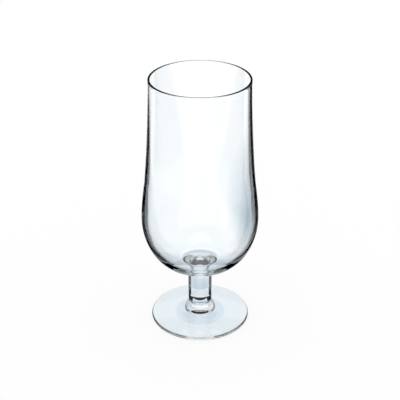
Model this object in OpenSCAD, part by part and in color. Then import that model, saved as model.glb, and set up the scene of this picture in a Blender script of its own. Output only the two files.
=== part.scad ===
// Stemmed pilsner glass: a tulip bowl, a short solid stem that flares under the bowl, a
// bead-shaped knop and a round foot, four pieces of clear glass fused face to face on one axis.
// Millimetres, +Z up, origin on the table below the middle of the foot.

/* [Bowl] */
// Height of the bowl, from its joint with the stem to the top of the rim
bowl_height = 129.7; // [115:0.1:150]
// Outside diameter at the rim
rim_diameter = 63.3; // [56:0.1:69]
// Outside diameter at the shoulder, where the wall leans in most
shoulder_diameter = 70.9; // [70:0.1:74]
// Height of the shoulder above the joint with the stem
shoulder_rise = 59.7; // [54:0.1:70]
// Lean of the wall at the shoulder, in degrees
shoulder_lean = 6.6; // [3:0.1:10]
// Outside diameter at the widest part of the belly
belly_diameter = 75.5; // [75:0.1:84]
// Height of the belly's widest part above the joint with the stem
belly_rise = 35.2; // [32:0.1:42]
// Thickness of the wall at the rim
rim_wall = 1.4; // [1:0.1:2.4]
// Thickness of the wall at the belly
belly_wall = 1.8; // [1.4:0.1:3.4]
// Thickness of the glass in the bottom of the bowl, on the axis
bowl_floor = 2.2; // [1.8:0.1:6]
// Diameter of the shallow pool in the bottom of the bowl
pool_diameter = 24; // [10:0.1:28]
// Depth of that pool on the axis
pool_depth = 0.8; // [0.1:0.1:2]

/* [Stem] */
// Diameter of the solid stem
stem_diameter = 15.6; // [15.2:0.1:19]
// Length of the stem between its two joints
stem_length = 29; // [18:0.1:40]
// Diameter of the stem's flare at its joint with the bowl
stem_flare_diameter = 25.8; // [22:0.1:34]
// Height of that flare
stem_flare_height = 8.3; // [2:0.1:10]
// Diameter of the stem's drawn-in end, at its joint with the knop
stem_end_diameter = 15.1; // [13:0.1:15.4]
// Height of that drawn-in end
stem_end_height = 1.1; // [0.5:0.1:3]

/* [Knop] */
// Diameter of the bead at its widest
knop_diameter = 20.4; // [19.5:0.1:26]
// Height of the bead between its two joints
knop_height = 7.6; // [6:0.1:12]
// Height of the bead's widest part above its joint with the foot
knop_belly_rise = 1.6; // [1:0.1:4]
// Diameter of the bead's rounded base, at its joint with the foot
knop_base_diameter = 17.7; // [11:0.1:18.5]
// Slope of the bead's neck at its joint with the stem, in degrees from upright
knop_neck_tilt = 28; // [10:1:60]

/* [Foot] */
// Outside diameter of the foot
foot_diameter = 65; // [56:0.1:76]
// Thickness of the foot at its rounded edge
foot_edge = 2.2; // [1.6:0.1:3]
// Height of the foot under the knop
foot_centre = 3.7; // [3.2:0.1:5]
// Diameter of the low rise that carries the knop
foot_rise_diameter = 33.2; // [27:0.1:38]
// Width of the flat ring that the glass stands on
foot_ring_width = 4; // [2:0.1:8]
// Depth of the hollow under the foot, on the axis
foot_hollow = 0.2; // [0.1:0.1:1.4]

/* [Hidden] */

// Facets of the round surfaces and points of each curved stretch of an outline
$fn = 128;
curve_steps = 28;
edge_steps = 10;

// Clear soda-lime glass
glass_colour = [0.86, 0.91, 0.94, 0.4];

// Lengths of the curves' handles, as shares of the span that each curve crosses
base_out_share = 0.504;
belly_down_share = 0.584;
belly_up_share = 0.3;
shoulder_down_share = 0.21;
shoulder_up_share = 0.19;
rim_down_share = 0.28;
pool_share = 0.35;
floor_out_share = 0.52;
floor_down_share = 0.575;
end_share = 0.5;
flare_up_share = 0.76;
flare_in_share = 0.24;
bead_out_share = 0.58;
bead_down_share = 0.92;
bead_up_share = 0.145;
bead_neck_share = 0.61;
// Thickness that the foot keeps at the edge of its rise, between edge and centre
rise_thickness_share = 0.73;

rim_r = rim_diameter / 2;
shoulder_r = shoulder_diameter / 2;
belly_r = belly_diameter / 2;
pool_r = pool_diameter / 2;
stem_r = stem_diameter / 2;
stem_end_r = stem_end_diameter / 2;
flare_r = stem_flare_diameter / 2;
knop_r = knop_diameter / 2;
knop_base_r = knop_base_diameter / 2;
foot_r = foot_diameter / 2;
foot_rise_r = foot_rise_diameter / 2;

// Heights of the three fused joints above the table
foot_joint_z = foot_centre;
knop_joint_z = foot_joint_z + knop_height;
bowl_joint_z = knop_joint_z + stem_length;

// Points along a cubic curve from a to d, which leaves a towards b and reaches d from c
function curve(a, b, c, d) =
    [for (i = [0:curve_steps])
        let (t = i / curve_steps, u = 1 - t)
        u * u * u * a + 3 * u * u * t * b + 3 * u * t * t * c + t * t * t * d];

// Points along an arc of radius r about centre, from one angle to another
function arc(centre, r, from, to) =
    [for (i = [0:edge_steps])
        let (angle = from + (to - from) * i / edge_steps)
        centre + r * [cos(angle), sin(angle)]];

// One side of the bowl's wall, from the belly over the shoulder up to the foot of the lip
function bowl_side(at_belly_r, at_shoulder_r, at_rim_r, lip_z) =
    let (belly = [at_belly_r, belly_rise],
         shoulder = [at_shoulder_r, shoulder_rise],
         rim = [at_rim_r, lip_z],
         lean = [-sin(shoulder_lean), cos(shoulder_lean)],
         low_span = shoulder_rise - belly_rise,
         high_span = lip_z - shoulder_rise)
    concat(
        curve(belly,
              belly + [0, low_span * belly_up_share],
              shoulder - low_span * shoulder_down_share * lean,
              shoulder),
        curve(shoulder,
              shoulder + high_span * shoulder_up_share * lean,
              rim - [0, high_span * rim_down_share],
              rim));

// Outside of the bowl from its joint with the stem up to the foot of the lip
function bowl_outside(lip_z) =
    concat(
        curve([flare_r, 0],
              [flare_r + (belly_r - flare_r) * base_out_share, 0],
              [belly_r, belly_rise * (1 - belly_down_share)],
              [belly_r, belly_rise]),
        bowl_side(belly_r, shoulder_r, rim_r, lip_z));

// Inside of the bowl from the axis up to the foot of the lip
function bowl_inside(lip_z) =
    let (inner_belly_r = belly_r - belly_wall,
         inner_rim_r = rim_r - rim_wall,
         climb_share = (shoulder_rise - belly_rise) / (lip_z - belly_rise),
         shoulder_wall = belly_wall + (rim_wall - belly_wall) * climb_share,
         pool_z = bowl_floor + pool_depth,
         floor_drop = belly_rise - pool_z)
    concat(
        curve([0, bowl_floor],
              [pool_r * pool_share, bowl_floor],
              [pool_r * (1 - pool_share), pool_z],
              [pool_r, pool_z]),
        curve([pool_r, pool_z],
              [pool_r + (inner_belly_r - pool_r) * floor_out_share, pool_z],
              [inner_belly_r, belly_rise - floor_drop * floor_down_share],
              [inner_belly_r, belly_rise]),
        bowl_side(inner_belly_r, shoulder_r - shoulder_wall, inner_rim_r, lip_z));

// The same points in the other order
function reverse(points) = [for (i = [len(points) - 1:-1:0]) points[i]];

// Tulip bowl with a fire-polished lip, standing on its joint with the stem
module bowl() {
    lip_r = rim_wall / 2;
    lip_z = bowl_height - lip_r;
    color(glass_colour)
        translate([0, 0, bowl_joint_z])
            rotate_extrude()
                polygon(concat(
                    [[0, 0]],
                    bowl_outside(lip_z),
                    arc([rim_r - lip_r, lip_z], lip_r, 0, 180),
                    reverse(bowl_inside(lip_z))));
}

// Solid stem that draws in at its end and spreads under the bowl
module stem() {
    flare_z = stem_length - stem_flare_height;
    spread = flare_r - stem_r;
    draw_in = stem_r - stem_end_r;
    color(glass_colour)
        translate([0, 0, knop_joint_z])
            rotate_extrude()
                polygon(concat(
                    [[0, 0]],
                    curve([stem_end_r, 0],
                          [stem_end_r + draw_in * end_share, 0],
                          [stem_r, stem_end_height * (1 - end_share)],
                          [stem_r, stem_end_height]),
                    curve([stem_r, flare_z],
                          [stem_r, flare_z + stem_flare_height * flare_up_share],
                          [flare_r - spread * flare_in_share, stem_length],
                          [flare_r, stem_length]),
                    [[0, stem_length]]));
}

// Bead with a rounded base that narrows to the end of the stem
module knop() {
    swell = knop_r - knop_base_r;
    neck_span = knop_height - knop_belly_rise;
    neck_reach = norm([knop_r - stem_end_r, neck_span]) * bead_neck_share;
    color(glass_colour)
        translate([0, 0, foot_joint_z])
            rotate_extrude()
                polygon(concat(
                    [[0, 0]],
                    curve([knop_base_r, 0],
                          [knop_base_r + swell * bead_out_share, 0],
                          [knop_r, knop_belly_rise * (1 - bead_down_share)],
                          [knop_r, knop_belly_rise]),
                    curve([knop_r, knop_belly_rise],
                          [knop_r, knop_belly_rise + neck_span * bead_up_share],
                          [stem_end_r + neck_reach * sin(knop_neck_tilt),
                           knop_height - neck_reach * cos(knop_neck_tilt)],
                          [stem_end_r, knop_height]),
                    [[0, knop_height]]));
}

// Pressed disc with a rounded edge, a low rise under the knop and a hollow below
module foot() {
    edge_r = foot_edge / 2;
    rise_z = foot_edge + (foot_centre - foot_edge) * rise_thickness_share;
    rise_middle_r = (knop_base_r + foot_rise_r) / 2;
    ring_inner_r = foot_r - edge_r - foot_ring_width;
    color(glass_colour)
        rotate_extrude()
            polygon(concat(
                [[0, foot_hollow], [0, foot_centre]],
                curve([knop_base_r, foot_centre],
                      [rise_middle_r, foot_centre],
                      [rise_middle_r, rise_z],
                      [foot_rise_r, rise_z]),
                arc([foot_r - edge_r, edge_r], edge_r, 90, -90),
                curve([ring_inner_r, 0],
                      [ring_inner_r / 2, 0],
                      [ring_inner_r / 2, foot_hollow],
                      [0, foot_hollow])));
}

bowl();
stem();
knop();
foot();
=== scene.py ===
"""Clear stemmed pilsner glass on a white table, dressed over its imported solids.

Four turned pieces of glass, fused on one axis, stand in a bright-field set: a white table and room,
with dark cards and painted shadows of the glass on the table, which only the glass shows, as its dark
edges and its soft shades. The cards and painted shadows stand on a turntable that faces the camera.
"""
import logging
import math
from abc import ABC, abstractmethod
from dataclasses import dataclass, field
from enum import Enum, IntEnum
from typing import Any

import bmesh
import bpy
from mathutils import Matrix, Vector
from mathutils.geometry import interpolate_bezier


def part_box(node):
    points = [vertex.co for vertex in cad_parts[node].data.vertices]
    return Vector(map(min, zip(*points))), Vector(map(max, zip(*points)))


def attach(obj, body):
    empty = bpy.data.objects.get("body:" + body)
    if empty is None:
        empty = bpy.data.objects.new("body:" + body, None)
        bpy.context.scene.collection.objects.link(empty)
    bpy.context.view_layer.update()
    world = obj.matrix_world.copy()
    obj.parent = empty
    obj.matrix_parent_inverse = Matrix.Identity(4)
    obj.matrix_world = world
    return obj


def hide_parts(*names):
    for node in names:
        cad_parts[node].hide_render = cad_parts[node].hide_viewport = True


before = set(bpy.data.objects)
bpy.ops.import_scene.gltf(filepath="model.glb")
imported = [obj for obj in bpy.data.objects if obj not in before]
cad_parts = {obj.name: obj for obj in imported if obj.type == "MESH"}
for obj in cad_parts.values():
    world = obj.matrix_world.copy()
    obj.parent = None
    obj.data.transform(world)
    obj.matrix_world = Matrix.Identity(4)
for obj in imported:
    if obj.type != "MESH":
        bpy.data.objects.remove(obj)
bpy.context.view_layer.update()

BODY = "root"
MM = 0.001

# Facets round the axis of a piece and of the collar, and points along a curve and a rounded edge
SPIN_STEPS = 256
COLLAR_STEPS = 96
CURVE_POINTS = 40
EDGE_POINTS = 16
# Points that are closer than this are one point, in metres
WELD_DISTANCE = 1e-6
# Points that are closer than this to a joint's height lie on the joint, in metres
FLAT_TOLERANCE = 1e-6
# Times that light may cross glass, be mirrored or pass a clear card before it is lost
GLASS_BOUNCES = 24
GLOSS_BOUNCES = 12
CLEAR_BOUNCES = 32

WHITE = "#FFFFFF"
BLACK = "#000000"
# Black of a matt paper, which still gives back a little light
PAPER_BLACK = "#050607"

# Height between the cards of the stem and those of the bowl, in millimetres
CARD_SPLIT = -2.0
# Near end and upper edge of the bowl's cards, in millimetres
CARD_NEAR = -200.0
CARD_TOP = 250.0
# Lower and upper edge of the blue flags, in millimetres
FLAG_LOW = -900.0
FLAG_TOP = 150.0

# Tints along a radius in millimetres or an elevation in degrees, as sRGB hex colours
Tints = tuple[tuple[float, str], ...]
# Stops of a graded card: distance in millimetres, sRGB hex colour and cover
Stops = tuple[tuple[float, str, float], ...]
# Levels of a graded card: height in millimetres and share of the cover there
Levels = tuple[tuple[float, float], ...]
# A card that is black all over, and a cover that is the same at every height
FULL: Stops = ((-1.0, BLACK, 1.0), (1.0, BLACK, 1.0))
EVEN: Levels = ((-1.0, 1.0), (1.0, 1.0))

log = logging.getLogger("pilsner_glass")


class Surface(IntEnum):
    """Material slots of a glass piece."""

    GLASS = 0
    JOINT = 1


class Side(Enum):
    """Sides of the set, as the direction along X from the glass."""

    LEFT = -1
    RIGHT = 1

    @property
    def word(self) -> str:
        """Word for the side at the end of a card's name."""
        return self.name.lower()


class Show(Enum):
    """Ways that the glass shows a card: through its body, or mirrored in its gloss."""

    BODY = "transmission"
    GLOSS = "glossy"


class Facing(Enum):
    """Directions that a sheet of the set can face: up, towards the camera or across the set."""

    UP = "up"
    FRONT = "front"
    ACROSS = "across"


def linear(colour: str) -> tuple[float, float, float, float]:
    """Turn an sRGB hex colour into linear RGBA.

    Args:
        colour: Six hex digits after a hash.

    Returns:
        Linear red, green and blue, and an alpha of 1.
    """
    shares = [int(colour[i : i + 2], 16) / 255 for i in (1, 3, 5)]
    red, green, blue = (s / 12.92 if s <= 0.04045 else ((s + 0.055) / 1.055) ** 2.4 for s in shares)
    return red, green, blue, 1.0


def add_node(tree: bpy.types.NodeTree, kind: str, inputs: dict[str | int, Any] | None = None,
             **settings: Any) -> bpy.types.Node:
    """Add one node with its settings, its constant inputs and its links.

    Args:
        tree: Node tree that takes the node.
        kind: Blender's type name for the node.
        inputs: Value or feeding socket for each input, by its name or its number.
        **settings: Properties of the node itself.

    Returns:
        The new node.
    """
    node = tree.nodes.new(kind)
    for name, value in settings.items():
        setattr(node, name, value)
    for key, value in (inputs or {}).items():
        if isinstance(value, bpy.types.NodeSocket):
            tree.links.new(value, node.inputs[key])
        else:
            node.inputs[key].default_value = value
    return node


def empty_material(name: str) -> bpy.types.Material:
    """Make a material whose node tree is empty.

    Args:
        name: Name of the material.

    Returns:
        The new material.
    """
    material = bpy.data.materials.new(name)
    material.use_nodes = True
    material.node_tree.nodes.clear()
    return material


def add_object(name: str, shape: bmesh.types.BMesh) -> bpy.types.Object:
    """Make an object of a finished shape and link it to the scene.

    Args:
        name: Name of the object and of its mesh.
        shape: Shape to take over, which is freed.

    Returns:
        The object, at the origin, with its place in its mesh.
    """
    mesh = bpy.data.meshes.new(name)
    shape.to_mesh(mesh)
    shape.free()
    obj = bpy.data.objects.new(name, mesh)
    bpy.context.scene.collection.objects.link(obj)
    return obj


def set_ramp(ramp: bpy.types.ColorRamp, stops: list[tuple[float, str, float]]) -> None:
    """Give a colour ramp its stops.

    Args:
        ramp: Ramp of a new Color Ramp node, which has two stops.
        stops: Place from 0 to 1, sRGB hex colour and alpha of each stop, in order.
    """
    while len(ramp.elements) < len(stops):
        ramp.elements.new(1.0)
    for element, (place, colour, alpha) in zip(ramp.elements, stops):
        element.position = place
        element.color = (*linear(colour)[:3], alpha)


def graded(tree: bpy.types.NodeTree, place: bpy.types.NodeSocket, stops: Stops) -> bpy.types.Node:
    """Add a colour ramp along a distance.

    Args:
        tree: Node tree of the material.
        place: Socket that gives the distance, in metres.
        stops: Distance in millimetres, sRGB hex colour and cover of each stop, in order.

    Returns:
        The ramp, which gives the colour and, as its alpha, the cover.
    """
    start = stops[0][0]
    end = stops[-1][0]
    share = add_node(tree, "ShaderNodeMapRange", {
        "Value": place,
        "From Min": start * MM,
        "From Max": end * MM,
    })
    ramp = add_node(tree, "ShaderNodeValToRGB", {"Fac": share.outputs["Result"]})
    places = [((at - start) / (end - start), colour, cover) for at, colour, cover in stops]
    set_ramp(ramp.color_ramp, places)
    return ramp


@dataclass(frozen=True)
class ClearGlass:
    """Soda-lime glass, blown or pressed and then fire-polished.

    Attributes:
        name: Name of the material.
        body: Colour of the glass where it is clearest.
        cord: Colour along the faint cords of a less even melt.
        ior: Index of refraction of soda-lime glass.
        ripple_width: Width of the slow waves round the wall, in millimetres.
        ripple_length: Length of those waves along the axis, in millimetres.
        ripple_depth: Depth of the waves, in millimetres.
    """

    name: str = "clear_soda_lime_glass"
    body: str = WHITE
    cord: str = "#F7FBFD"
    ior: float = 1.52
    ripple_width: float = 12.0
    ripple_length: float = 60.0
    ripple_depth: float = 0.03

    def build(self) -> bpy.types.Material:
        """Make the material: clear to the eye, with a high gloss and slow waves in its surface.

        Returns:
            The material of every outer face of the glass.
        """
        material = empty_material(self.name)
        tree = material.node_tree
        place = add_node(tree, "ShaderNodeTexCoord")
        # Waves are drawn out along the axis, the way that the glass was drawn
        drawn = add_node(tree, "ShaderNodeMapping", {
            "Vector": place.outputs["Object"],
            "Scale": (1.0, 1.0, self.ripple_width / self.ripple_length),
        })
        waves = add_node(tree, "ShaderNodeTexNoise", {
            "Vector": drawn.outputs["Vector"],
            "Scale": 1 / (self.ripple_width * MM),
            "Detail": 1.0,
        })
        ripple = add_node(tree, "ShaderNodeBump", {
            "Height": waves.outputs["Fac"],
            "Distance": self.ripple_depth * MM,
            "Strength": 1.0,
        })
        tint = add_node(tree, "ShaderNodeMix", {
            "Factor": waves.outputs["Fac"],
            "A": linear(self.body),
            "B": linear(self.cord),
        }, data_type="RGBA")
        shader = add_node(tree, "ShaderNodeBsdfPrincipled", {
            "Base Color": tint.outputs["Result"],
            "Roughness": 0.0,
            "IOR": self.ior,
            "Transmission Weight": 1.0,
            "Normal": ripple.outputs["Normal"],
        })
        add_node(tree, "ShaderNodeOutputMaterial", {"Surface": shader.outputs["BSDF"]})
        return material


@dataclass(frozen=True)
class FusedJoint:
    """Face where two pieces were melted together: glass meets glass, so nothing shows."""

    name: str = "fused_glass_joint"

    def build(self) -> bpy.types.Material:
        """Make the material of the joint faces, which light crosses unchanged.

        Returns:
            The material.
        """
        material = empty_material(self.name)
        tree = material.node_tree
        shader = add_node(tree, "ShaderNodeBsdfPrincipled", {"Alpha": 0.0})
        add_node(tree, "ShaderNodeOutputMaterial", {"Surface": shader.outputs["BSDF"]})
        return material


class Outline:
    """Half section of a turned piece, as points in millimetres from the axis and up."""

    def __init__(self) -> None:
        """Start with no points."""
        self.points: list[Vector] = []

    def line(self, *points: tuple[float, float]) -> "Outline":
        """Go on in straight stretches.

        Args:
            *points: Radius and height of each corner.

        Returns:
            The outline itself.
        """
        for radius, height in points:
            point = Vector((radius, 0.0, height))
            if not self.points or (point - self.points[-1]).length * MM > WELD_DISTANCE:
                self.points.append(point)
        return self

    def curve(self, a: Vector, b: Vector, c: Vector, d: Vector) -> "Outline":
        """Go on along a cubic curve, which leaves a towards b and reaches d from c.

        Args:
            a: Start of the curve.
            b: End of the start's handle.
            c: End of the end's handle.
            d: End of the curve.

        Returns:
            The outline itself.
        """
        flat = [Vector((p[0], p[1], 0.0)) for p in (a, b, c, d)]
        return self.line(*((p.x, p.y) for p in interpolate_bezier(*flat, CURVE_POINTS)))

    def arc(self, centre: tuple[float, float], radius: float, start: float, end: float) -> "Outline":
        """Go on round an arc.

        Args:
            centre: Radius and height of its middle.
            radius: Its radius.
            start: Angle of its first point above the outward direction, in degrees.
            end: Angle of its last point, in degrees.

        Returns:
            The outline itself.
        """
        for i in range(EDGE_POINTS + 1):
            angle = math.radians(start + (end - start) * i / EDGE_POINTS)
            self.line((centre[0] + radius * math.cos(angle), centre[1] + radius * math.sin(angle)))
        return self

    def back(self, other: "Outline") -> "Outline":
        """Go on along another outline from its end to its start.

        Args:
            other: Outline to follow backwards.

        Returns:
            The outline itself.
        """
        return self.line(*((p.x, p.z) for p in reversed(other.points)))

    def spin(self, name: str) -> bpy.types.Object:
        """Turn the half section about the axis into a closed piece.

        Args:
            name: Name of the piece.

        Returns:
            The piece, at the origin, with its place in its mesh.
        """
        shape = bmesh.new()
        section = [shape.verts.new(point * MM) for point in self.points]
        edges = [shape.edges.new(pair) for pair in zip(section, section[1:])]
        bmesh.ops.spin(shape, geom=section + edges, cent=(0, 0, 0), axis=(0, 0, 1), dvec=(0, 0, 0),
                       angle=math.tau, steps=SPIN_STEPS, use_merge=True)
        bmesh.ops.remove_doubles(shape, verts=shape.verts, dist=WELD_DISTANCE)
        bmesh.ops.recalc_face_normals(shape, faces=shape.faces)
        for face in shape.faces:
            face.smooth = True
        return add_object(name, shape)


@dataclass
class GlassPiece(ABC):
    """One turned piece of the glass, which stands for one CAD node. Sizes are in millimetres.

    Attributes:
        node: Name of the CAD node.
        bottom: Height of the node's lowest point.
        top: Height of the node's highest point.
        radius: Radius of the node where it is widest.
        joint_radii: Radius of the fused face at each height where one lies.
    """

    node: str = ""
    bottom: float = field(init=False)
    top: float = field(init=False)
    radius: float = field(init=False)
    joint_radii: dict[float, float] = field(default_factory=dict, init=False)

    def __post_init__(self) -> None:
        """Read the node's heights and its widest radius from the CAD model."""
        low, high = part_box(self.node)
        self.bottom = low.z / MM
        self.top = high.z / MM
        self.radius = high.x / MM

    @abstractmethod
    def outline(self) -> Outline:
        """Return the half section of the piece and note its fused faces."""

    def build(self) -> bpy.types.Object:
        """Turn the piece and put its fused faces in a slot of their own.

        Returns:
            The piece, without its materials.
        """
        piece = self.outline().spin(f"{self.node}_glass")
        shape = bmesh.new()
        shape.from_mesh(piece.data)
        fused: set[bmesh.types.BMFace] = set()
        for height, radius in self.joint_radii.items():
            reach = radius * MM + FLAT_TOLERANCE
            level = {v for v in shape.verts
                     if abs(v.co.z - height * MM) < FLAT_TOLERANCE and v.co.xy.length < reach}
            fused |= {face for v in level for face in v.link_faces if level.issuperset(face.verts)}
        for face in fused:
            face.material_index = Surface.JOINT
            # The corner round a fused face stays hard, so that the outer face keeps its own shading
            for edge in face.edges:
                edge.smooth = fused.issuperset(edge.link_faces)
        shape.to_mesh(piece.data)
        shape.free()
        return piece

    def dress(self, piece: bpy.types.Object, glass: bpy.types.Material,
              joint: bpy.types.Material) -> None:
        """Give the piece its materials and its place in the frame.

        Args:
            piece: Piece that build made.
            glass: Material of the outer faces.
            joint: Material of the fused faces.
        """
        piece.data.materials.append(glass)
        piece.data.materials.append(joint)
        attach(piece, BODY)
        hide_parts(self.node)


@dataclass
class Bowl(GlassPiece):
    """Tulip bowl with a fire-polished lip. Sizes are in millimetres, heights above the joint."""

    node: str = "bowl"
    base_radius: float = 12.9
    rim_radius: float = 31.65
    shoulder_radius: float = 35.45
    shoulder_rise: float = 59.7
    shoulder_lean: float = 6.6
    belly_rise: float = 35.2
    rim_wall: float = 1.4
    belly_wall: float = 1.8
    floor: float = 2.2
    pool_radius: float = 12.0
    pool_depth: float = 0.8
    pool_share: float = 0.35
    base_out_share: float = 0.504
    belly_down_share: float = 0.584
    belly_up_share: float = 0.3
    shoulder_down_share: float = 0.21
    shoulder_up_share: float = 0.19
    rim_down_share: float = 0.28
    floor_out_share: float = 0.52
    floor_down_share: float = 0.575

    def side(self, section: Outline, belly: float, shoulder: float, rim: float) -> None:
        """Draw one side of the wall from the belly over the shoulder to the foot of the lip.

        Args:
            section: Outline to go on with.
            belly: Radius at the belly.
            shoulder: Radius at the shoulder.
            rim: Radius at the rim.
        """
        lip = self.top - self.rim_wall / 2
        start = Vector((belly, self.bottom + self.belly_rise))
        middle = Vector((shoulder, self.bottom + self.shoulder_rise))
        end = Vector((rim, lip))
        angle = math.radians(self.shoulder_lean)
        lean = Vector((-math.sin(angle), math.cos(angle)))
        low = middle.y - start.y
        high = end.y - middle.y
        section.curve(start, start + Vector((0, low * self.belly_up_share)),
                      middle - lean * (low * self.shoulder_down_share), middle)
        section.curve(middle, middle + lean * (high * self.shoulder_up_share),
                      end - Vector((0, high * self.rim_down_share)), end)

    def outline(self) -> Outline:
        """Draw the outside, the lip, and the inside back to the axis.

        Returns:
            The half section.
        """
        belly = self.radius
        belly_z = self.bottom + self.belly_rise
        swell = belly - self.base_radius
        outside = Outline().line((0, self.bottom))
        outside.curve(Vector((self.base_radius, self.bottom)),
                      Vector((self.base_radius + swell * self.base_out_share, self.bottom)),
                      Vector((belly, belly_z - self.belly_rise * self.belly_down_share)),
                      Vector((belly, belly_z)))
        self.side(outside, belly, self.shoulder_radius, self.rim_radius)
        inner = belly - self.belly_wall
        floor_z = self.bottom + self.floor
        pool_z = floor_z + self.pool_depth
        floor_span = inner - self.pool_radius
        inside = Outline()
        inside.curve(Vector((0, floor_z)),
                     Vector((self.pool_radius * self.pool_share, floor_z)),
                     Vector((self.pool_radius * (1 - self.pool_share), pool_z)),
                     Vector((self.pool_radius, pool_z)))
        inside.curve(Vector((self.pool_radius, pool_z)),
                     Vector((self.pool_radius + floor_span * self.floor_out_share, pool_z)),
                     Vector((inner, belly_z - (belly_z - pool_z) * self.floor_down_share)),
                     Vector((inner, belly_z)))
        lip_r = self.rim_wall / 2
        lip_z = self.top - lip_r
        climb_share = (self.shoulder_rise - self.belly_rise) / (lip_z - belly_z)
        shoulder_wall = self.belly_wall + (self.rim_wall - self.belly_wall) * climb_share
        self.side(inside, inner, self.shoulder_radius - shoulder_wall, self.rim_radius - self.rim_wall)
        self.joint_radii = {self.bottom: self.base_radius}
        return outside.arc((self.rim_radius - lip_r, lip_z), lip_r, 0, 180).back(inside)


@dataclass
class Stem(GlassPiece):
    """Solid stem that draws in at its end and spreads under the bowl. Sizes are in millimetres."""

    node: str = "stem"
    stem_radius: float = 7.8
    end_radius: float = 7.55
    end_height: float = 1.1
    flare_height: float = 8.3
    flare_up_share: float = 0.76
    flare_in_share: float = 0.24

    def outline(self) -> Outline:
        """Draw up the side, out along the flare and back to the axis.

        Returns:
            The half section.
        """
        flare_z = self.top - self.flare_height
        spread = self.radius - self.stem_radius
        section = Outline().line((0, self.bottom))
        section.curve(Vector((self.end_radius, self.bottom)),
                      Vector(((self.end_radius + self.stem_radius) / 2, self.bottom)),
                      Vector((self.stem_radius, self.bottom + self.end_height / 2)),
                      Vector((self.stem_radius, self.bottom + self.end_height)))
        section.curve(Vector((self.stem_radius, flare_z)),
                      Vector((self.stem_radius, flare_z + self.flare_height * self.flare_up_share)),
                      Vector((self.radius - spread * self.flare_in_share, self.top)),
                      Vector((self.radius, self.top)))
        self.joint_radii = {self.bottom: self.end_radius, self.top: self.radius}
        return section.line((0, self.top))


@dataclass
class Knop(GlassPiece):
    """Bead between stem and foot, which draws in to the stem's end. Sizes are in millimetres."""

    node: str = "knop"
    base_radius: float = 8.85
    neck_radius: float = 7.55
    neck_tilt: float = 28.0
    belly_rise: float = 1.6
    out_share: float = 0.58
    down_share: float = 0.92
    up_share: float = 0.145
    neck_share: float = 0.61

    def outline(self) -> Outline:
        """Draw round the bead, up its neck and back to the axis.

        Returns:
            The half section.
        """
        belly_z = self.bottom + self.belly_rise
        swell = self.radius - self.base_radius
        neck = self.top - belly_z
        slope = math.radians(self.neck_tilt)
        reach = math.hypot(self.radius - self.neck_radius, neck) * self.neck_share
        section = Outline().line((0, self.bottom))
        section.curve(Vector((self.base_radius, self.bottom)),
                      Vector((self.base_radius + swell * self.out_share, self.bottom)),
                      Vector((self.radius, belly_z - self.belly_rise * self.down_share)),
                      Vector((self.radius, belly_z)))
        section.curve(Vector((self.radius, belly_z)),
                      Vector((self.radius, belly_z + neck * self.up_share)),
                      Vector((self.neck_radius + reach * math.sin(slope),
                              self.top - reach * math.cos(slope))),
                      Vector((self.neck_radius, self.top)))
        self.joint_radii = {self.bottom: self.base_radius, self.top: self.neck_radius}
        return section.line((0, self.top))


@dataclass
class Foot(GlassPiece):
    """Foot with a rounded edge, a low rise on top and a hollow below. Sizes are in millimetres."""

    node: str = "foot"
    joint_radius: float = 8.85
    edge: float = 2.2
    rise_radius: float = 16.6
    rise_thickness_share: float = 0.73
    ring_width: float = 4.0
    hollow: float = 0.2

    def outline(self) -> Outline:
        """Draw the top from the axis, the edge, the standing ring and the hollow.

        Returns:
            The half section.
        """
        edge_r = self.edge / 2
        rise_z = self.edge + (self.top - self.edge) * self.rise_thickness_share
        middle = (self.joint_radius + self.rise_radius) / 2
        ring = self.radius - edge_r - self.ring_width
        section = Outline().line((0, self.top))
        section.curve(Vector((self.joint_radius, self.top)), Vector((middle, self.top)),
                      Vector((middle, rise_z)), Vector((self.rise_radius, rise_z)))
        section.arc((self.radius - edge_r, edge_r), edge_r, 90, -90)
        section.curve(Vector((ring, 0)), Vector((ring / 2, 0)),
                      Vector((ring / 2, self.hollow)), Vector((0, self.hollow)))
        self.joint_radii = {self.top: self.joint_radius}
        return section


def sheet(name: str, facing: Facing, size: tuple[float, float], centre: Vector) -> bpy.types.Object:
    """Make a flat sheet of the set.

    Args:
        name: Name of the object.
        facing: Direction that the sheet faces.
        size: Its width, and its depth where it lies or its height where it stands, in millimetres.
        centre: Its middle, in millimetres.

    Returns:
        The sheet.
    """
    shape = bmesh.new()
    bmesh.ops.create_grid(shape, x_segments=1, y_segments=1, size=MM / 2)
    bmesh.ops.scale(shape, vec=(size[0], size[1], 1), verts=shape.verts)
    if facing is not Facing.UP:
        upright = Matrix.Rotation(math.pi / 2, 3, "X")
        bmesh.ops.rotate(shape, cent=(0, 0, 0), verts=shape.verts, matrix=upright)
    if facing is Facing.ACROSS:
        sideways = Matrix.Rotation(math.pi / 2, 3, "Z")
        bmesh.ops.rotate(shape, cent=(0, 0, 0), verts=shape.verts, matrix=sideways)
    bmesh.ops.translate(shape, vec=centre * MM, verts=shape.verts)
    obj = add_object(name, shape)
    return obj


def plain_paper(name: str, colour: str) -> bpy.types.Material:
    """Make the plain paper of a card, which shows its colour in any light.

    Args:
        name: Name of the card.
        colour: Its colour.

    Returns:
        The material.
    """
    material = empty_material(f"matt_{name}")
    tree = material.node_tree
    paper = add_node(tree, "ShaderNodeEmission", {"Color": linear(colour)})
    add_node(tree, "ShaderNodeOutputMaterial", {"Surface": paper.outputs["Emission"]})
    return material


def show_to_glass_only(obj: bpy.types.Object) -> None:
    """Hide a card of the set from everything but the glass, which shows it in its edges.

    Args:
        obj: The card.
    """
    obj.visible_camera = False
    obj.visible_diffuse = False
    obj.visible_shadow = False
    obj.visible_volume_scatter = False


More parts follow.
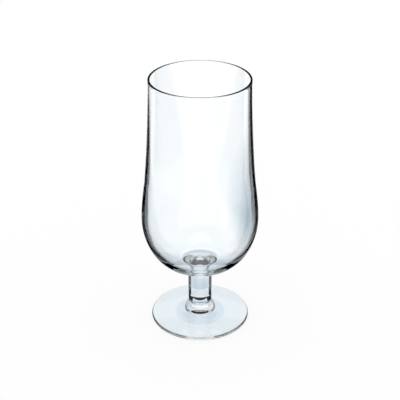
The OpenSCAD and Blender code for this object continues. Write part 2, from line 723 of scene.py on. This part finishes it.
@dataclass(frozen=True)
class WhiteTable:
    """White laminate table that runs into the white room behind it.

    Attributes:
        size: Side of the table, in millimetres.
        drop: Gap that keeps the table clear of the foot, in millimetres.
        white: Colour of the laminate.
        glow_share: Share of its white that glows, as on a table lit from below.
    """

    size: float = 12000.0
    drop: float = 0.1
    white: str = WHITE
    glow_share: float = 0.85

    def build(self) -> bpy.types.Object:
        """Make the table: white to the camera, with the soft shadow that the glass throws on it.

        Returns:
            The table.
        """
        table = sheet("table", Facing.UP, (self.size, self.size), Vector((0, 0, -self.drop)))
        material = empty_material("white_laminate")
        tree = material.node_tree
        laminate = add_node(tree, "ShaderNodeBsdfDiffuse", {"Color": linear(self.white)})
        glow = add_node(tree, "ShaderNodeEmission", {"Color": linear(self.white), "Strength": 1.0})
        lit = add_node(tree, "ShaderNodeMixShader", {
            "Fac": self.glow_share,
            1: laminate.outputs["BSDF"],
            2: glow.outputs["Emission"],
        })
        add_node(tree, "ShaderNodeOutputMaterial", {"Surface": lit.outputs["Shader"]})
        table.data.materials.append(material)
        # The glass shows the white room in the table's place, without its own shadow
        table.visible_transmission = False
        table.visible_glossy = False
        return table


@dataclass(frozen=True)
class Gel:
    """Painted shadow of the glass on the table below the foot, as a tinted round sheet that only the
    glass shows.

    Attributes:
        name: Name of the sheet of painted shadow.
        drop: Depth below the foot, in millimetres.
        tints: Radius in millimetres and colour of each stop of the painted shadow, from the middle out.
    """

    name: str
    drop: float
    tints: Tints

    def build(self, rig: bpy.types.Object) -> bpy.types.Object:
        """Lay the sheet of painted shadow on the rig, where only the glass sees it.

        Args:
            rig: Turntable that carries the set's cards.

        Returns:
            The sheet of painted shadow.
        """
        width = 2 * self.tints[-1][0]
        centre = Vector((0.0, 0.0, -self.drop))
        disc = sheet(self.name, Facing.UP, (width, width), centre)
        material = empty_material(f"tinted_{self.name}")
        tree = material.node_tree
        place = add_node(tree, "ShaderNodeTexCoord")
        radius = add_node(tree, "ShaderNodeVectorMath", {
            0: place.outputs["Object"],
            1: centre * MM,
        }, operation="DISTANCE")
        # The colours are a painted shadow of the glass on the table, which only the glass shows through
        # its body
        stops = tuple((at, colour, 1.0) for at, colour in self.tints)
        tint = graded(tree, radius.outputs["Value"], stops)
        shadow_filter = add_node(tree, "ShaderNodeBsdfTransparent", {"Color": tint.outputs["Color"]})
        add_node(tree, "ShaderNodeOutputMaterial", {"Surface": shadow_filter.outputs["BSDF"]})
        disc.data.materials.append(material)
        show_to_glass_only(disc)
        disc.parent = rig
        return disc


# Painted shadows on the table, which only the glass shows, in place of the table's real shade under the
# glass
PAINTED_TABLE_SHADOWS = (
    # Painted soft bluish shadow round the foot: deep under the rise, paler under the rest of the foot,
    # deepest just outside its edge, fading to white
    Gel("table_gel", drop=0.05, tints=(
        (0.0, "#D5E0E8"),
        (15.5, "#D7E2EA"),
        (17.5, "#E7EDF1"),
        (32.0, "#E7EDF1"),
        (34.0, "#C2CDD5"),
        (44.0, "#C9D4DC"),
        (72.0, WHITE),
    )),
    # Black painted contact shadow on the table under the knop, which the glass shows as a dark ring at
    # the bead
    Gel("painted_knop_shadow", drop=0.1, tints=((0.0, BLACK), (6.6, BLACK), (6.7, WHITE))),
)


@dataclass(frozen=True)
class SideCard:
    """Card or flag beside the glass, which the glass shows as a dark edge or a soft shade.

    Attributes:
        name: Name of the card, without its side.
        side: Side of the set that the card stands on.
        show: Way that the glass shows the card.
        near: Near end along Y, in millimetres.
        far: Far end along Y, in millimetres.
        low: Height of its lower edge, in millimetres.
        high: Height of its upper edge, in millimetres.
        along: Place along Y in millimetres, colour and cover of each stop, from the near end on.
        lean: Distance that those stops move back for each millimetre up.
        levels: Height in millimetres and share of the cover at it, from low to high.
        fall: Distance that those levels sink for each millimetre back.
        gap: Distance from the axis, in millimetres.
    """

    name: str
    side: Side
    show: Show
    near: float
    far: float
    low: float
    high: float
    along: Stops
    lean: float = 0.0
    levels: Levels = EVEN
    fall: float = 0.0
    gap: float = 53.0

    def build(self, rig: bpy.types.Object) -> bpy.types.Object:
        """Stand the card on the rig, where only the glass sees it.

        Args:
            rig: Turntable that carries the set's cards.

        Returns:
            The card.
        """
        name = f"{self.name}_{self.side.word}"
        aside = self.side.value * self.gap
        centre = Vector((aside, (self.near + self.far) / 2, (self.low + self.high) / 2))
        card = sheet(name, Facing.ACROSS, (self.far - self.near, self.high - self.low), centre)
        material = empty_material(f"matt_{name}")
        tree = material.node_tree
        place = add_node(tree, "ShaderNodeTexCoord")
        back = add_node(tree, "ShaderNodeVectorMath", {
            0: place.outputs["Object"],
            1: (0.0, 1.0, -self.lean),
        }, operation="DOT_PRODUCT")
        shade = graded(tree, back.outputs["Value"], self.along)
        height = add_node(tree, "ShaderNodeVectorMath", {
            0: place.outputs["Object"],
            1: (0.0, self.fall, 1.0),
        }, operation="DOT_PRODUCT")
        stops = tuple((at, WHITE, share) for at, share in self.levels)
        level = graded(tree, height.outputs["Value"], stops)
        cover = add_node(tree, "ShaderNodeMath", {
            0: shade.outputs["Alpha"],
            1: level.outputs["Alpha"],
        }, operation="MULTIPLY")
        paper = add_node(tree, "ShaderNodeEmission", {"Color": shade.outputs["Color"]})
        clear = add_node(tree, "ShaderNodeBsdfTransparent")
        sheer = add_node(tree, "ShaderNodeMixShader", {
            "Fac": cover.outputs["Value"],
            1: clear.outputs["BSDF"],
            2: paper.outputs["Emission"],
        })
        add_node(tree, "ShaderNodeOutputMaterial", {"Surface": sheer.outputs["Shader"]})
        card.data.materials.append(material)
        show_to_glass_only(card)
        card.visible_transmission = self.show is Show.BODY
        card.visible_glossy = self.show is Show.GLOSS
        card.parent = rig
        return card


SIDE_CARDS = (
    *(SideCard("stem_card", side, Show.BODY,
               near=-60.0, far=60.0, low=-90.0, high=CARD_SPLIT, along=FULL)
      for side in Side),
    *(SideCard("mirrored_stem_card", side, Show.GLOSS,
               near=-100.0, far=110.0, low=-300.0, high=-12.0, along=FULL)
      for side in Side),
    SideCard("dark_card", Side.LEFT, Show.BODY,
             near=CARD_NEAR, far=79.0, low=CARD_SPLIT, high=CARD_TOP, lean=0.5,
             along=((-48.0, BLACK, 0.0), (-39.0, BLACK, 1.0)),
             levels=((25.0, 0.75), (50.0, 1.0))),
    SideCard("dark_card", Side.RIGHT, Show.BODY,
             near=CARD_NEAR, far=94.0, low=CARD_SPLIT, high=CARD_TOP, lean=0.5,
             along=((-70.0, BLACK, 0.0), (-64.0, BLACK, 1.0)),
             levels=((CARD_SPLIT, 0.25), (25.0, 0.45), (50.0, 1.0))),
    SideCard("mirrored_card", Side.LEFT, Show.GLOSS,
             near=CARD_NEAR, far=78.0, low=CARD_SPLIT, high=CARD_TOP, lean=0.8,
             along=((-90.0, BLACK, 0.0), (-82.0, BLACK, 1.0)),
             levels=((CARD_SPLIT, 0.6), (25.0, 1.0))),
    SideCard("mirrored_card", Side.RIGHT, Show.GLOSS,
             near=CARD_NEAR, far=60.0, low=CARD_SPLIT, high=CARD_TOP, lean=0.46,
             along=((-60.0, BLACK, 0.0), (-51.0, BLACK, 1.0)),
             levels=((CARD_SPLIT, 0.0), (25.0, 1.0))),
    SideCard("blue_flag", Side.LEFT, Show.BODY,
             near=80.0, far=600.0, low=FLAG_LOW, high=FLAG_TOP, fall=0.53,
             along=((80.0, "#E1EBF3", 0.45), (105.0, "#E7F1F9", 0.32),
                    (160.0, "#E9F3FB", 0.14), (600.0, "#E9F3FB", 0.0)),
             levels=((35.0, 0.0), (90.0, 1.0), (95.0, 1.0), (110.0, 0.0))),
    SideCard("blue_flag", Side.RIGHT, Show.BODY,
             near=95.0, far=700.0, low=FLAG_LOW, high=FLAG_TOP, fall=0.53,
             along=((95.0, "#BFD2DD", 1.0), (190.0, "#BFD2DD", 0.88),
                    (420.0, "#C9DCE6", 0.45), (700.0, "#E9F3FB", 0.0)),
             levels=((2.0, 0.0), (62.0, 1.0), (75.0, 1.0), (145.0, 0.0))),
)


@dataclass(frozen=True)
class BackCard:
    """Dark corner of the room far behind the glass, which the bead shows as a dark edge.

    Attributes:
        side: Side of the set that the corner is on.
        size: Its width and height, in millimetres.
        aside: Distance of its middle from the axis along X, in millimetres.
        back: Place of its middle along Y, in millimetres.
        height: Height of its middle, in millimetres.
        dark: Its colour.
    """

    side: Side
    size: tuple[float, float] = (3400.0, 1200.0)
    aside: float = 2790.0
    back: float = 3000.0
    height: float = 100.0
    dark: str = PAPER_BLACK

    def build(self, rig: bpy.types.Object) -> bpy.types.Object:
        """Stand the card on the rig, where only the glass sees it.

        Args:
            rig: Turntable that carries the set's cards.

        Returns:
            The card.
        """
        name = f"back_card_{self.side.word}"
        centre = Vector((self.side.value * self.aside, self.back, self.height))
        card = sheet(name, Facing.FRONT, self.size, centre)
        card.data.materials.append(plain_paper(name, self.dark))
        show_to_glass_only(card)
        card.parent = rig
        return card


@dataclass(frozen=True)
class DarkCollar:
    """Black collar above the glass, which the lip shows as a dark line.

    Attributes:
        name: Name of the collar.
        radius: Radius of the collar, in millimetres.
        low: Height of its lower edge, in millimetres.
        high: Height of its upper edge, in millimetres.
        dark: Colour of the collar.
    """

    name: str = "dark_collar"
    radius: float = 83.0
    low: float = 172.0
    high: float = 346.0
    dark: str = PAPER_BLACK

    def build(self) -> bpy.types.Object:
        """Hang the collar where only the glass sees it.

        Returns:
            The collar.
        """
        shape = bmesh.new()
        height = self.high - self.low
        middle = Matrix.Translation((0.0, 0.0, (self.low + height / 2) * MM))
        bmesh.ops.create_cone(shape, cap_ends=False, segments=COLLAR_STEPS, radius1=self.radius * MM,
                              radius2=self.radius * MM, depth=height * MM, matrix=middle)
        collar = add_object(self.name, shape)
        collar.data.materials.append(plain_paper(self.name, self.dark))
        show_to_glass_only(collar)
        return collar


@dataclass(frozen=True)
class WhiteRoom:
    """White room that gives soft light from all round.

    What the glass shows of it is white below and overhead, with a grey wall and a black gap between
    the wall and the soft box overhead.

    Attributes:
        tints: Elevation in degrees and colour of each stop, from straight down to straight up.
        strength: Strength of the light that the glass shows.
    """

    tints: Tints = (
        (-90.0, "#FDFEFF"),
        (13.0, "#FDFEFF"),
        (15.0, "#DDDEDF"),
        (37.0, "#DDDEDF"),
        (39.0, BLACK),
        (57.0, BLACK),
        (59.0, "#FDFFFF"),
        (90.0, "#FDFFFF"),
    )
    strength: float = 1.09

    def build(self) -> bpy.types.World:
        """Make the world, which is plain white to the camera and to the table.

        Returns:
            The world.
        """
        world = bpy.data.worlds.new("white_room")
        world.use_nodes = True
        tree = world.node_tree
        tree.nodes.clear()
        ray = add_node(tree, "ShaderNodeLightPath")
        place = add_node(tree, "ShaderNodeTexCoord")
        direction = add_node(tree, "ShaderNodeSeparateXYZ", {"Vector": place.outputs["Generated"]})
        height = add_node(tree, "ShaderNodeMath", {0: direction.outputs["Z"]}, operation="ARCSINE")
        down = self.tints[0][0]
        up = self.tints[-1][0]
        share = add_node(tree, "ShaderNodeMapRange", {
            "Value": height.outputs["Value"],
            "From Min": math.radians(down),
            "From Max": math.radians(up),
        })
        room = add_node(tree, "ShaderNodeValToRGB", {"Fac": share.outputs["Result"]})
        places = [((angle - down) / (up - down), colour, 1.0) for angle, colour in self.tints]
        set_ramp(room.color_ramp, places)
        seen = add_node(tree, "ShaderNodeBackground", {
            "Color": room.outputs["Color"],
            "Strength": self.strength,
        })
        plain = add_node(tree, "ShaderNodeBackground", {"Color": linear(WHITE), "Strength": 1.0})
        through = add_node(tree, "ShaderNodeMath", {
            0: ray.outputs["Is Transmission Ray"],
            1: ray.outputs["Is Glossy Ray"],
        }, operation="MAXIMUM")
        light = add_node(tree, "ShaderNodeMixShader", {
            "Fac": through.outputs["Value"],
            1: plain.outputs["Background"],
            2: seen.outputs["Background"],
        })
        add_node(tree, "ShaderNodeOutputWorld", {"Surface": light.outputs["Shader"]})
        return world


@dataclass(frozen=True)
class Viewpoint:
    """Camera at the photograph's viewing angle.

    Attributes:
        place: Position in metres.
        pitch: Angle below the horizon, in degrees.
        focal: Focal length in pixels of the image.
        image: Width of the square image, in pixels.
        sensor: Width of the sensor, in millimetres.
    """

    place: tuple[float, float, float] = (0.0, -0.554511, 0.38415)
    pitch: float = 28.196
    focal: float = 982.78
    image: float = 400.0
    sensor: float = 36.0

    def build(self) -> bpy.types.Object:
        """Make the camera and set it as the scene's own.

        Returns:
            The camera.
        """
        lens = bpy.data.cameras.new("camera")
        lens.sensor_width = self.sensor
        lens.lens = self.focal / self.image * self.sensor
        camera = bpy.data.objects.new("camera", lens)
        camera.location = self.place
        camera.rotation_euler = (math.radians(90 - self.pitch), 0, 0)
        bpy.context.scene.collection.objects.link(camera)
        bpy.context.scene.camera = camera
        return camera


def turntable_rig(camera: bpy.types.Object) -> bpy.types.Object:
    """Make the turntable that keeps the cards on the left and right of the glass, as the camera sees it.

    Args:
        camera: Camera that the near side of the set faces.

    Returns:
        The empty that carries the cards.
    """
    rig = bpy.data.objects.new("card_turntable", None)
    bpy.context.scene.collection.objects.link(rig)
    facing = rig.constraints.new("LOCKED_TRACK")
    facing.target = camera
    facing.track_axis = "TRACK_NEGATIVE_Y"
    facing.lock_axis = "LOCK_Z"
    return rig


def main() -> None:
    """Build the set and the glass, and report each piece."""
    logging.basicConfig(level=logging.INFO, format="%(name)s: %(message)s")
    scene = bpy.context.scene
    scene.view_settings.view_transform = "Standard"
    scene.cycles.max_bounces = GLASS_BOUNCES
    scene.cycles.transmission_bounces = GLASS_BOUNCES
    scene.cycles.glossy_bounces = GLOSS_BOUNCES
    scene.cycles.transparent_max_bounces = CLEAR_BOUNCES
    camera = Viewpoint().build()
    scene.world = WhiteRoom().build()
    WhiteTable().build()
    DarkCollar().build()
    rig = turntable_rig(camera)
    back_cards = [BackCard(side) for side in Side]
    for card in (*SIDE_CARDS, *back_cards, *PAINTED_TABLE_SHADOWS):
        card.build(rig)

    glass = ClearGlass().build()
    joint = FusedJoint().build()
    for maker in (Bowl(), Stem(), Knop(), Foot()):
        piece = maker.build()
        maker.dress(piece, glass, joint)
        log.info("%s stands for %s: %d faces", piece.name, maker.node, len(piece.data.polygons))


if __name__ == "__main__":
    main()
